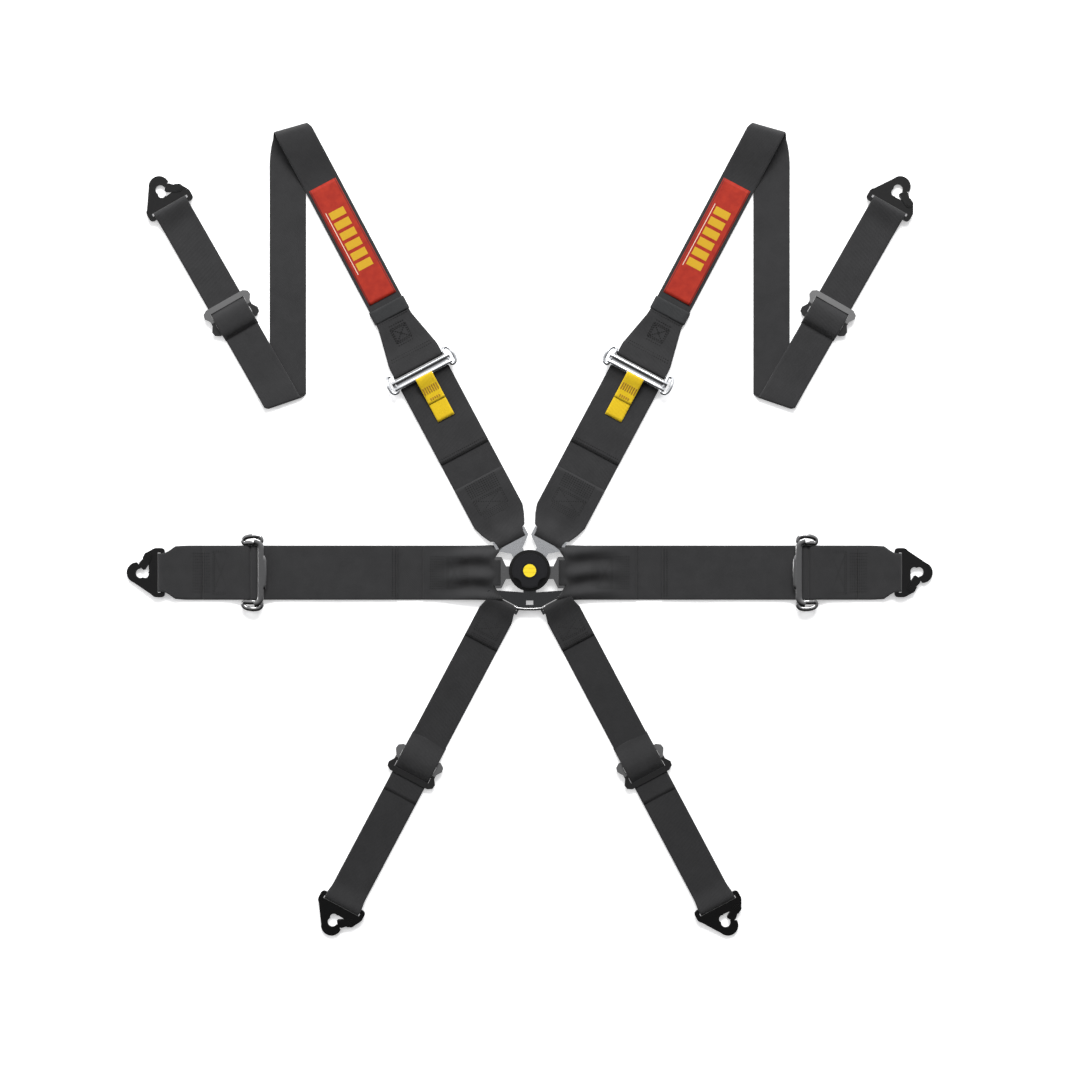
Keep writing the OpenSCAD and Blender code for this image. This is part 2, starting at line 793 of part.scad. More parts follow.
black_web = [0.22, 0.22, 0.22];
dark_web = [0.17, 0.17, 0.17];
steel = [0.75, 0.76, 0.78];
dark_steel = [0.10, 0.10, 0.11];
chrome = [0.85, 0.86, 0.88];

module shoulder_piece(side, p) {
    x = shoulder_lock_x;
    if (p == "tongue") color(chrome) at(side, shoulder_at)
        tongue(shoulder_pin_x, shoulder_slot_half);
    if (p == "lower_strap") color(black_web) at(side, shoulder_at) shoulder_lower_strap();
    if (p == "adjuster_frame") color(chrome) at(side, shoulder_at) adjuster_frame(x, 15, true);
    if (p == "lock_bar") color(steel) at(side, shoulder_at) lock_bar(x);
    if (p == "pull_tab") color([0.85, 0.7, 0]) at(side, shoulder_at) pull_tab(x, 15);
    if (p == "flare") color(black_web) at(side, shoulder_at) flare();
    if (p == "upper_strap") color(black_web) handed(side) shoulder_upper_strap();
    if (p == "patch") color([0.8, 0.2, 0.1]) handed(side) patch();
    if (p == "keeper_band") color(dark_web) at(side, shoulder_at) keeper_band();
    if (p == "slider") color(dark_steel) at(side, hook_leg_at)
        translate([leg_slider_x, 0, 0]) slider();
    if (p == "hook") color(dark_steel) at(side, hook_leg_at) hook_pose(true) hook();
    if (p == "gate") color(dark_steel) at(side, hook_leg_at) hook_pose(true) gate();
}

module lap_piece(side, p) {
    if (p == "tongue") color(chrome) at(side, lap_at) tongue(lap_pin_x, lap_slot_half);
    if (p == "belt") color(black_web) at(side, lap_at) lap_belt();
    if (p == "adjuster_frame") color(chrome) at(side, lap_at)
        adjuster_frame(lap_lock_x, 19, false);
    if (p == "lock_bar") color(steel) at(side, lap_at) lock_bar(lap_lock_x);
    if (p == "hook_strap") color(black_web) at(side, lap_at) lap_hook_strap();
    if (p == "hook") color(dark_steel) at(side, lap_at)
        translate([lap_hook_x, 0, 0]) hook_pose(true) hook();
    if (p == "gate") color(dark_steel) at(side, lap_at)
        translate([lap_hook_x, 0, 0]) hook_pose(true) gate();
}

module crotch_piece(side, p) {
    if (p == "strap") color(dark_web) at(side, crotch_at) crotch_strap();
    if (p == "slider") color(dark_steel) at(side, crotch_at)
        translate([crotch_slider_x, 0, 0]) slider();
    if (p == "hook") color(dark_steel) at(side, crotch_at)
        translate([crotch_hook_x, 0, 0]) hook_pose(false) hook();
    if (p == "gate") color(dark_steel) at(side, crotch_at)
        translate([crotch_hook_x, 0, 0]) hook_pose(false) gate();
}

color(dark_steel) buckle_base();
color(dark_steel) buckle_housing();
color(steel) housing_screws();
color(steel) centre_post();
color(steel) cam_rotor();
color(steel) knob_return_spring();
color(steel) latch_plate();
color(steel) latch_pins();
color(steel) latch_springs();
color([0.25, 0.25, 0.26]) release_knob();
color([0.05, 0.05, 0.05]) knob_cap();
color([0.9, 0.8, 0.1]) knob_emblem();
color(dark_steel) crotch_plate();
for (s = SIDES) {
    for (p = SHOULDER_PIECES)
        shoulder_piece(s, p);
    for (p = LAP_PIECES)
        lap_piece(s, p);
    for (p = CROTCH_PIECES)
        crotch_piece(s, p);
}
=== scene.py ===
# %% [markdown]
# # Racing harness, laid out flat
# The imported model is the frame: its bodies, joints and boxes say where everything goes. This
# notebook adds what makes it look real: woven webbing with soft folds, sewing, chrome, paint.

# %% Load the frame
import json
import math

import bpy
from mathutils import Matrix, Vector


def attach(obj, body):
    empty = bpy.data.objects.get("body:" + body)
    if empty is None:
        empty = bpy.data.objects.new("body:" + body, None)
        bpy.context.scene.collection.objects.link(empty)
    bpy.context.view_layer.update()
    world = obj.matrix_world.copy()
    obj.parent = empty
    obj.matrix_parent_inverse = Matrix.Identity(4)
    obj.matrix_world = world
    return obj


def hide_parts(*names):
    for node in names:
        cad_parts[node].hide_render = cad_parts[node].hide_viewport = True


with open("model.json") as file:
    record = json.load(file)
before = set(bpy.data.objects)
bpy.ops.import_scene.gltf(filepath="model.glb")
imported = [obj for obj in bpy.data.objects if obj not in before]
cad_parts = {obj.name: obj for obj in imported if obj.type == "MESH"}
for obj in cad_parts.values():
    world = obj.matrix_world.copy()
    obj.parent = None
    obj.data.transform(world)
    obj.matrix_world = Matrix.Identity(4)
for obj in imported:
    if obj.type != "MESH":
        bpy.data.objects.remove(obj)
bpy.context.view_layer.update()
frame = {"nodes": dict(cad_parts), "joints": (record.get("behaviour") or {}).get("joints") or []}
JOINTS = {j["name"]: j for j in frame["joints"]}
SIDES = ("left", "right")
MM = 0.001
UP = Vector((0, 0, 1))

# %% [markdown]
# ## Camera
# The harness is seen from straight above, so the camera looks down -Z with +Y up in the picture.
# A long lens high above keeps the far straps from leaning away. The frame is 1.51 m wide.

# %% Camera
FRAME_W = 1.512
LENS = 100.0
SENSOR_W = 36.0
FRAME_CENTRE = (0.0144, 0.0426)

cam_data = bpy.data.cameras.new("camera")
cam_data.lens = LENS
cam_data.sensor_width = SENSOR_W
cam_data.clip_end = 50.0
camera = bpy.data.objects.new("camera", cam_data)
camera.location = (*FRAME_CENTRE, FRAME_W * LENS / SENSOR_W)
bpy.context.collection.objects.link(camera)
bpy.context.scene.camera = camera
print("camera height", round(camera.location.z, 2), "m")

# %% [markdown]
# ## Studio light
# Chrome only looks like metal when it has something dark and something bright to mirror. One
# large soft light hangs far beyond the shoulder straps: faces that tip that way shine, faces
# that tip away go black. The world repeats that: bright beyond the shoulder straps, grey above,
# which flat chrome mirrors, and black on the near side, so every round edge gets both.

# %% Lights and floor
def soft_light(name, place, aim, size, power):
    """A rectangular area light that looks at a point."""
    data = bpy.data.lights.new(name, "AREA")
    data.shape = "RECTANGLE"
    data.size, data.size_y = size
    data.energy = power
    light = bpy.data.objects.new(name, data)
    light.location = place
    light.rotation_euler = (Vector(aim) - Vector(place)).to_track_quat("-Z", "Y").to_euler()
    bpy.context.collection.objects.link(light)
    return light


soft_light("key_light", (0.3, 4.0, 3.2), (0, 0.1, 0), (3.6, 1.4), 330)
soft_light("side_light", (-3.6, 0.6, 1.6), (0, 0, 0), (0.8, 2.4), 34)

world = bpy.data.worlds.new("studio")
world.use_nodes = True
sky = world.node_tree
direction = sky.nodes.new("ShaderNodeTexCoord").outputs["Generated"]
parts = sky.nodes.new("ShaderNodeSeparateXYZ")
sky.links.new(direction, parts.inputs[0])
shift = sky.nodes.new("ShaderNodeMath")
shift.operation = "MULTIPLY_ADD"
shift.inputs[1].default_value = shift.inputs[2].default_value = 0.5
sky.links.new(parts.outputs["Y"], shift.inputs[0])
shade = sky.nodes.new("ShaderNodeValToRGB")
near, far = shade.color_ramp.elements
near.position, near.color = 0.33, (0.02, 0.02, 0.02, 1)
far.position, far.color = 0.68, (0.95, 0.95, 0.97, 1)
shade.color_ramp.elements.new(0.5).color = (0.42, 0.42, 0.43, 1)
sky.links.new(shift.outputs[0], shade.inputs["Fac"])
sky.links.new(shade.outputs["Color"], sky.nodes["Background"].inputs["Color"])
bpy.context.scene.world = world
bpy.context.scene.view_settings.view_transform = "Standard"

bpy.ops.mesh.primitive_plane_add(size=14, location=(0, 0, -0.0006))
floor = bpy.context.object
floor.name = "studio_floor"
print("lights and floor in place")

# %% [markdown]
# ## Materials: helpers
# Colours are written as the hex values that a screen shows, and one function turns them into
# the linear numbers that the shader adds and multiplies.

# %% Material helpers
def linear(hex_colour):
    """sRGB hex such as 383838 as linear red, green, blue and alpha."""
    srgb = [int(hex_colour[i:i + 2], 16) / 255 for i in (0, 2, 4)]
    return [c / 12.92 if c <= 0.04045 else ((c + 0.055) / 1.055) ** 2.4 for c in srgb] + [1.0]


def add_node(tree, kind, settings=None, links=None):
    """Adds a shader node, sets its fields and sockets, and links its inputs."""
    node = tree.nodes.new(kind)
    for name, value in (settings or {}).items():
        if isinstance(name, int) or name in node.inputs:
            node.inputs[name].default_value = value
        else:
            setattr(node, name, value)
    for name, source in (links or {}).items():
        tree.links.new(source, node.inputs[name])
    return node


def math_node(tree, operation, *values):
    """The result of a math node; each value is a number or another node's output."""
    fixed = {i: v for i, v in enumerate(values) if isinstance(v, (int, float))}
    linked = {i: v for i, v in enumerate(values) if i not in fixed}
    return add_node(tree, "ShaderNodeMath", {"operation": operation, **fixed}, linked).outputs[0]


def new_material(name, settings):
    """A material with one Principled shader, and its tree and shader."""
    material = bpy.data.materials.new(name)
    material.use_nodes = True
    shader = material.node_tree.nodes["Principled BSDF"]
    for socket, value in settings.items():
        shader.inputs[socket].default_value = value
    return material, material.node_tree, shader


def ramp(tree, factor, low, high, colours):
    """A two-colour ramp over a factor."""
    node = add_node(tree, "ShaderNodeValToRGB", {}, {"Fac": factor})
    for stop, place, colour in zip(node.color_ramp.elements, (low, high), colours):
        stop.position = place
        stop.color = colour
    return node.outputs["Color"]


print("helpers ready")

# %% [markdown]
# ## Woven webbing
# Seat belt webbing is polyester filament woven in a twill: fine ribs run along it and a
# diagonal crosses them. It is matt with a faint sheen at a low angle. Each strap carries a map
# of its own surface in metres (across, along), so threads follow every bend and keep one size.
# Ribs are really about 0.9 mm apart; they are drawn at 1.3 mm so that they show.

# %% Webbing material
RIB = 1.3 * MM
TWILL = 2.4 * MM


def webbing_material(name, dark, light, rib=RIB, sheen=0.25):
    """Twill-woven webbing in two tones of one colour."""
    material, tree, shader = new_material(name, {
        "Roughness": 0.82, "Sheen Weight": sheen, "Sheen Roughness": 0.45,
        "Specular IOR Level": 0.35,
    })
    uv = add_node(tree, "ShaderNodeUVMap", {"uv_map": "cloth"}).outputs["UV"]
    split = add_node(tree, "ShaderNodeSeparateXYZ", {}, {"Vector": uv})

    def waves(value, pitch):
        turns = math_node(tree, "MULTIPLY", value, 2 * math.pi / pitch)
        return math_node(tree, "SINE", turns)

    across, along = split.outputs["X"], split.outputs["Y"]
    ribs = waves(across, rib)
    twill = waves(math_node(tree, "ADD", across, along), TWILL)
    weave = math_node(tree, "MULTIPLY_ADD", ribs, 0.6, twill)
    wear = add_node(tree, "ShaderNodeTexNoise", {"Scale": 40.0, "Detail": 6.0, "Roughness": 0.65},
                    {"Vector": uv}).outputs["Fac"]
    fibre = add_node(tree, "ShaderNodeTexNoise", {"Scale": 900.0, "Detail": 2.0},
                     {"Vector": uv}).outputs["Fac"]
    tone = math_node(tree, "MULTIPLY_ADD", weave, 0.12, wear)
    colour = ramp(tree, tone, 0.0, 1.0, (linear(dark), linear(light)))
    tree.links.new(colour, shader.inputs["Base Color"])
    height = math_node(tree, "MULTIPLY_ADD", fibre, 0.35, weave)
    bump = add_node(tree, "ShaderNodeBump", {"Strength": 0.5, "Distance": 0.00022},
                    {"Height": height})
    tree.links.new(bump.outputs["Normal"], shader.inputs["Normal"])
    return material


strap_webbing = webbing_material("polyester_webbing_black", "1b1b1c", "2c2c2d")
crotch_webbing = webbing_material("polyester_webbing_dark", "161617", "252526")
keeper_elastic = webbing_material("knitted_elastic_black", "1f2021", "313233", 0.9 * MM, 0.1)
tab_webbing = webbing_material("nylon_tape_yellow", "c79f00", "e6c818", 1.0 * MM, 0.1)
thread_black = webbing_material("bonded_thread_black", "050505", "101010", 0.5 * MM, 0.1)
thread_brown = webbing_material("bonded_thread_brown", "8a6216", "a87a20", 0.5 * MM, 0.1)
print("webbing materials made")

# %% [markdown]
# ## Metals, paint and plastic
# Chrome is a mirror with very fine polish marks. The sliders and lap fittings are plated in
# black chrome, a dark mirror. The hooks and the buckle are pressed steel in glossy black paint,
# a little uneven like orange peel. The knob is aluminium, anodised dark and satin.

# %% Metal and paint materials
def metal_material(name, colour, roughness, spread, grain, depth):
    """Plated or bare metal with polish marks in its roughness and a little relief."""
    material, tree, shader = new_material(name, {
        "Metallic": 1.0, "Base Color": linear(colour), "Roughness": roughness})
    coords = add_node(tree, "ShaderNodeTexCoord").outputs["Object"]
    marks = add_node(tree, "ShaderNodeTexNoise", {"Scale": grain, "Detail": 4.0}, {"Vector": coords})
    spread_node = add_node(tree, "ShaderNodeMapRange",
                           {"To Min": roughness - spread, "To Max": roughness + spread},
                           {"Value": marks.outputs["Fac"]})
    tree.links.new(spread_node.outputs[0], shader.inputs["Roughness"])
    bump = add_node(tree, "ShaderNodeBump", {"Strength": 0.3, "Distance": depth},
                    {"Height": marks.outputs["Fac"]})
    tree.links.new(bump.outputs["Normal"], shader.inputs["Normal"])
    return material


def paint_material(name, colour, roughness, grain, coat):
    """Glossy paint or moulded plastic with a fine uneven skin."""
    material, tree, shader = new_material(name, {
        "Base Color": linear(colour), "Roughness": roughness, "Coat Weight": coat,
        "Coat Roughness": 0.08, "Specular IOR Level": 0.3})
    coords = add_node(tree, "ShaderNodeTexCoord").outputs["Object"]
    peel = add_node(tree, "ShaderNodeTexNoise", {"Scale": grain, "Detail": 3.0}, {"Vector": coords})
    rough = add_node(tree, "ShaderNodeMapRange",
                     {"To Min": roughness - 0.05, "To Max": roughness + 0.08},
                     {"Value": peel.outputs["Fac"]})
    tree.links.new(rough.outputs[0], shader.inputs["Roughness"])
    bump = add_node(tree, "ShaderNodeBump", {"Strength": 0.25, "Distance": 0.0002},
                    {"Height": peel.outputs["Fac"]})
    tree.links.new(bump.outputs["Normal"], shader.inputs["Normal"])
    return material


bright_chrome = metal_material("chrome_plate_bright", "dcdee0", 0.24, 0.05, 300.0, 0.0001)
black_chrome = metal_material("chrome_plate_black", "555657", 0.2, 0.05, 300.0, 0.0001)
lap_chrome = metal_material("chrome_plate_smoked", "858585", 0.2, 0.05, 300.0, 0.0001)
satin_black = metal_material("zinc_plate_black_satin", "666666", 0.36, 0.06, 700.0, 0.0001)
zinc_steel = metal_material("zinc_plated_steel", "a8aaad", 0.32, 0.08, 500.0, 0.0001)
knob_metal = metal_material("anodised_aluminium_dark", "3d3d3f", 0.33, 0.06, 1800.0, 0.00005)
hook_paint = paint_material("gloss_paint_black", "090909", 0.3, 380.0, 0.1)
housing_paint = paint_material("powder_coat_black", "0b0b0b", 0.38, 900.0, 0.1)
cap_plastic = paint_material("gloss_plastic_black", "080808", 0.18, 120.0, 0.5)
emblem_enamel = paint_material("enamel_yellow", "ead02a", 0.3, 400.0, 0.3)
print("metals and paints made")

# %% [markdown]
# ## Embroidered patch
# The red patch is polyester embroidery: satin stitches side by side give a fine ribbed sheen. A
# dark line frames it, plain yellow bars repeat along it, and a thin pale line runs beside them.

# %% Patch material
PATCH_L = 181 * MM
PATCH_W = 42 * MM


def band(tree, value, low, high):
    """1 where a value lies between two limits, else 0."""
    over = math_node(tree, "GREATER_THAN", value, low)
    return math_node(tree, "MULTIPLY", over, math_node(tree, "LESS_THAN", value, high))


def paint_over(tree, under, mask, hex_colour):
    """A colour laid over another where a mask is 1."""
    mix = add_node(tree, "ShaderNodeMix", {"data_type": "RGBA"})
    mix.inputs[7].default_value = linear(hex_colour)
    tree.links.new(mask, mix.inputs[0])
    tree.links.new(under, mix.inputs[6])
    return mix.outputs[2]


def patch_material():
    """Red embroidery with a dark frame line and yellow bars."""
    material, tree, shader = new_material("polyester_embroidery", {
        "Roughness": 0.7, "Sheen Weight": 0.05, "Sheen Roughness": 0.4,
        "Specular IOR Level": 0.3})
    uv = add_node(tree, "ShaderNodeUVMap", {"uv_map": "cloth"}).outputs["UV"]
    split = add_node(tree, "ShaderNodeSeparateXYZ", {}, {"Vector": uv})
    across = math_node(tree, "ABSOLUTE", split.outputs["X"])
    along = split.outputs["Y"]
    repeat = math_node(tree, "FRACT", math_node(tree, "MULTIPLY", along, 1 / (16 * MM)))
    inside = band(tree, along, 46 * MM, PATCH_L - 38 * MM)
    bars = math_node(tree, "MULTIPLY", band(tree, repeat, 0.1, 0.8), inside)
    bars = math_node(tree, "MULTIPLY", bars, band(tree, across, -1.0, 11.5 * MM))
    dashes = math_node(tree, "MULTIPLY", band(tree, split.outputs["X"], 14.2 * MM, 15.2 * MM), inside)
    noise = add_node(tree, "ShaderNodeTexNoise", {"Scale": 90.0, "Detail": 4.0}, {"Vector": uv})
    colour = ramp(tree, noise.outputs["Fac"], 0.3, 0.7, (linear("8e1a09"), linear("a32812")))
    colour = paint_over(tree, colour, bars, "c0961a")
    colour = paint_over(tree, colour, dashes, "e2c9b8")
    colour = paint_over(tree, colour, band(tree, across, 18.6 * MM, 20.2 * MM), "6a1710")
    tree.links.new(colour, shader.inputs["Base Color"])
    satin = math_node(tree, "SINE", math_node(tree, "MULTIPLY", split.outputs["X"],
                                              2 * math.pi / (0.8 * MM)))
    height = math_node(tree, "MULTIPLY_ADD", satin, 0.3, bars)
    bump = add_node(tree, "ShaderNodeBump", {"Strength": 0.5, "Distance": 0.0003},
                    {"Height": height})
    tree.links.new(bump.outputs["Normal"], shader.inputs["Normal"])
    return material


patch_cloth = patch_material()

floor_paper, _, _ = new_material("studio_paper", {
    "Base Color": linear("fbfbfb"), "Roughness": 0.9, "Specular IOR Level": 0.1,
    "Emission Color": (1, 1, 1, 1), "Emission Strength": 0.4})
floor.data.materials.append(floor_paper)
print("patch and floor materials made")

# %% [markdown]
# ## A strap's own frame
# Each strap turns on a bar, and that bar's joint gives its place and direction. Points are
# written as (along, across, height) in millimetres from the bar, and this turns them to metres.

# %% Strap frames
class StrapFrame:
    """Along, across and up for one strap, from the hinge it turns on."""

    def __init__(self, joint):
        hinge = JOINTS[joint]
        self.across = -Vector(hinge["axis"])
        self.along = self.across.cross(UP)
        start = Vector(hinge["pos_m"])
        self.origin = Vector((start.x, start.y, 0))

    def point(self, along, across, height):
        """A place in metres from millimetres along, across and up."""
        flat = self.origin + self.along * along * MM + self.across * across * MM
        return flat + Vector((0, 0, height * MM))


print("strap frames ready")

# %% [markdown]
# ## Ribbons
# Webbing is one long strip. A strip can be made as a curve with a flat bevel, by cloth
# simulation, or row by row in code. Rows give full control over folds and gathers, so each row
# here has a middle point and a vector to its edge. Every row becomes a closed ring of points
# with rounded edges (the selvedges), and the rings are joined by quads.

# %% Ribbon builder
WEB_T = 1.25
COLUMNS = 14
WIDE_W, NARROW_W = 76, 51
WIDE, NARROW = WIDE_W / 2, NARROW_W / 2


def ring_shape(columns, thickness):
    """Places round a strap's cross-section: (across from -1 to 1, height in mm)."""
    half = thickness / 2
    steps = [-1 + 2 * i / columns for i in range(columns + 1)]
    top = [(-0.985, half * 0.7)] + [(c, half) for c in steps[1:-1]] + [(0.985, half * 0.7)]
    ring = [(-1.0, 0.0)] + top + [(1.0, 0.0)]
    return ring + [(c, -h) for c, h in reversed(top)]


def ribbon(name, rows, material, body, node=None, thickness=WEB_T, columns=COLUMNS, wave=None):
    """Builds a strip from rows of (middle, half-width vector, millimetres along the strap).

    wave(along, c) gives how far the cloth rises or moves off its path, in millimetres, c being -1
    to 1 across it.
    """
    shape = ring_shape(columns, thickness)
    count = len(shape)
    verts, along = [], [0.0]
    for i in range(1, len(rows)):
        along.append(along[-1] + (rows[i][0] - rows[i - 1][0]).length)
    for i, (middle, half, place) in enumerate(rows):
        ahead = rows[min(i + 1, len(rows) - 1)][0] - rows[max(i - 1, 0)][0]
        normal = ahead.cross(half).normalized()
        for c, h in shape:
            rise = wave(place, c) if wave else 0.0
            move = rise if isinstance(rise, Vector) else UP * rise
            verts.append(middle + half * c + normal * h * MM + move * MM)
    faces = []
    for i in range(len(rows) - 1):
        for k in range(count):
            m = (k + 1) % count
            faces.append((i * count + k, (i + 1) * count + k, (i + 1) * count + m, i * count + m))
    faces.append(tuple(range(count)))
    faces.append(tuple((len(rows) - 1) * count + k for k in reversed(range(count))))
    mesh = bpy.data.meshes.new(name)
    mesh.from_pydata([tuple(v) for v in verts], [], faces)
    cloth_map = mesh.uv_layers.new(name="cloth")
    for loop in mesh.loops:
        i, k = divmod(loop.vertex_index, count)
        cloth_map.data[loop.index].uv = (shape[k][0] * rows[i][1].length, along[i])
    for face in mesh.polygons:
        face.use_smooth = True
    mesh.materials.append(material)
    piece = bpy.data.objects.new(name, mesh)
    bpy.context.collection.objects.link(piece)
    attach(piece, body)
    if node:
        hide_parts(node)
    return piece


def subdivide(points, step):
    """Adds points along straight stretches longer than a step."""
    out = [points[0]]
    for a, b in zip(points, points[1:]):
        length = math.dist(a[:2], b[:2])
        n = max(1, math.ceil(length / step))
        out += [tuple(p + (q - p) * k / n for p, q in zip(a, b)) for k in range(1, n + 1)]
    return out


def soften(points, passes):
    """Rounds the corners of a path a little, and keeps its ends."""
    for _ in range(passes):
        mid = [tuple((p + 2 * q + r) / 4 for p, q, r in zip(a, b, c))
               for a, b, c in zip(points, points[1:], points[2:])]
        points = [points[0]] + mid + [points[-1]]
    return points


def around(x, z, radius, start, end, steps=12, oval=1.0):
    """Points round a bar, from one angle to another in degrees; oval fills a wide slot."""
    angles = [math.radians(start + (end - start) * i / steps) for i in range(steps + 1)]
    return [(x + radius * oval * math.cos(a), z + radius * math.sin(a)) for a in angles]


print("ribbon builder ready")

# %% [markdown]
# ## Stitches
# Sewing is what tells a viewer that webbing is a load-bearing part. A line of stitches could be
# a dashed texture, but real thread stands up and catches light, so each stitch is a small
# lozenge of thread laid along a line.

# %% Stitch builder
STITCH = 3.3
STITCH_L = 2.9


def stitch_lines(lines):
    """Turns lines of (along, across) points into stitches: (middle, direction) pairs."""
    places = []
    for line in lines:
        for a, b in zip(line, line[1:]):
            length = math.dist(a, b)
            n = max(1, round(length / STITCH))
            step = ((b[0] - a[0]) / n, (b[1] - a[1]) / n)
            size = math.hypot(*step)
            for k in range(n):
                middle = (a[0] + step[0] * (k + 0.5), a[1] + step[1] * (k + 0.5))
                places.append((middle, (step[0] / size, step[1] / size)))
    return places


def stitches(name, strap, lines, height, body, material=None, width=2.0):
    """One mesh of thread stitches on a strap's top face; height(along, across) is in mm."""
    verts, faces = [], []
    for (x, y), (dx, dy) in stitch_lines(lines):
        z = height(x, y)
        half, side = STITCH_L / 2, width / 2
        start = len(verts)
        for ahead, over, up in ((-half, 0, -0.2), (half, 0, -0.2), (0, -side, 0), (0, side, 0),
                                (-half * 0.45, 0, 0.5), (half * 0.45, 0, 0.5)):
            verts.append(tuple(strap.point(x + dx * ahead - dy * over,
                                           y + dy * ahead + dx * over, z + up)))
        for face in ((0, 2, 4), (0, 4, 3), (2, 5, 4), (3, 4, 5), (2, 1, 5), (3, 5, 1)):
            faces.append(tuple(start + k for k in face))
    mesh = bpy.data.meshes.new(name)
    mesh.from_pydata(verts, [], faces)
    cloth_map = mesh.uv_layers.new(name="cloth")
    for loop in mesh.loops:
        place = mesh.vertices[loop.vertex_index].co
        cloth_map.data[loop.index].uv = (place.x, place.y)
    for face in mesh.polygons:
        face.use_smooth = True
    mesh.materials.append(material or thread_black)
    sewing = bpy.data.objects.new(name, mesh)
    bpy.context.collection.objects.link(sewing)
    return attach(sewing, body)


def box_and_cross(x0, x1, half):
    """A sewn rectangle with a cross in it, as on every load-bearing joint."""
    box = [(x0, -half), (x1, -half), (x1, half), (x0, half), (x0, -half)]
    inner = [(x0 + 2.2, -half + 2.2), (x1 - 2.2, -half + 2.2), (x1 - 2.2, half - 2.2),
             (x0 + 2.2, half - 2.2), (x0 + 2.2, -half + 2.2)]
    return [box, inner, [(x0, -half), (x1, half)], [(x0, half), (x1, -half)]]


def dense(x0, x1, half):
    """Back and forth rows that fill a block, as a bar-tack machine sews them."""
    rows = max(2, round((x1 - x0) / 3.2) + 1)
    places = [x0 + (x1 - x0) * i / (rows - 1) for i in range(rows)]
    return [[(x + 1.3 * (k % 2), -half + 2 * half * k / 14) for k in range(15)] for x in places]


def seam(x, half):
    """One row of stitches across a strap."""
    return [[(x, -half), (x, half)]]


print("stitch builder ready")

# %% [markdown]
# ## Heights and gathers
# Webbing lies in one or two layers of 1.4 mm, and turns round bars at three heights. Wide belts
# bunch up where they enter a narrower slot: the extra width goes into pleats that run along the
# belt and fade out. A slow, small wave everywhere keeps the straps from looking like card. All
# sizes here are in millimetres; an oval above 1 stretches a turn so that it fills its slot.

# %% Heights, waves and paths
LOW, HIGH = 0.7, 2.15
TONGUE_Z, TONGUE_R = 7.0, 3.75
BAR_Z, BAR_R = 4.5, 3.75
HOOK_Z, HOOK_R, HOOK_HALF = 5.2, 4.4, 27.0
BAR_OVAL, HOOK_OVAL, BELT_OVAL, CROTCH_OVAL = 1.93, 1.5, 2.6, 1.9
RAISED = 2.2
SHOULDER_LOCK, SHOULDER_FIXED = 258, 272
LAP_LOCK, LAP_FIXED, LAP_HOOK = 333, 347, 463
CROTCH_HOOK, CROTCH_SLIDER = 471, 256
LEG_SLIDER, LEG_RETURN = -168, -190
FLARE_TUCK, FLARE_END = 303, 352


def slow_wave(x, c, seed=0.0):
    """A small rise that keeps changing along and across a strap, in mm."""
    return 0.45 * (1 + math.sin(x / 23 + seed + 1.7 * c) * math.cos(x / 61 - c + seed))


def fade(x, start, end):
    """1 before start, 0 after end, smooth between."""
    t = min(1.0, max(0.0, (x - start) / (end - start)))
    return 1 - t * t * (3 - 2 * t)


def gathers(reach, pleats, size, seed):
    """A wave with pleats near the tongue that fade out along the belt."""
    def wave(x, c):
        near = fade(x, 14, reach) * (1 - fade(x, -3, 16))
        bend = c * pleats * math.pi + seed + 0.5 * math.sin(x / 17 + seed)
        return slow_wave(x, c, seed) * (1 - fade(x, 4, 30)) + near * size * (0.5 + 0.5 * math.sin(bend))
    return wave


def taper(x, points):
    """A value that runs in straight steps through (x, value) points."""
    if x <= points[0][0]:
        return points[0][1]
    for (x0, v0), (x1, v1) in zip(points, points[1:]):
        if x <= x1:
            return v0 + (v1 - v0) * (x - x0) / (x1 - x0)
    return points[-1][1]


def strap_rows(strap, path, half, passes=2):
    """Rows for a ribbon from a path of (along, height) and a half width that depends on along."""
    points = soften(subdivide(path, 5), passes)
    return [(strap.point(x, 0, z), strap.across * half(x) * MM, x) for x, z in points]


def flat_length(rows):
    """A path's length in metres."""
    return sum((b[0] - a[0]).length for a, b in zip(rows, rows[1:]))


def belt_path(sewn, tail, lock):
    """Sewn end, round the tongue's bar, along the ground, round the lock bar, and the tail."""
    return ([(sewn, HIGH), (20, HIGH + 0.4)] + around(0, TONGUE_Z, TONGUE_R, 90, 270, oval=BELT_OVAL)
            + [(22, LOW), (lock - 22, LOW)] + around(lock, BAR_Z, BAR_R, -90, 90, oval=BAR_OVAL)
            + [(lock - 22, HIGH + 0.3), (tail, HIGH)])


def lay(piece, rows):
    """Works out a strap's cloth area and flat length, which nothing uses, and gives the strap back as
    it is.
    """
    share = sum((b[0] - a[0]).length * (a[1].length + b[1].length) for a, b in zip(rows, rows[1:]))
    length = flat_length(rows)
    return piece


print("paths ready")

# %% [markdown]
# ## Lower shoulder straps and lap belts
# Both are one length of 76 mm webbing: sewn back on itself at the tongue, and turned round the
# adjuster's lock bar with a free tail on top. The same path function serves both. The tongue's
# slot is narrower than the belt, so the belt's corners spill past it towards the buckle.

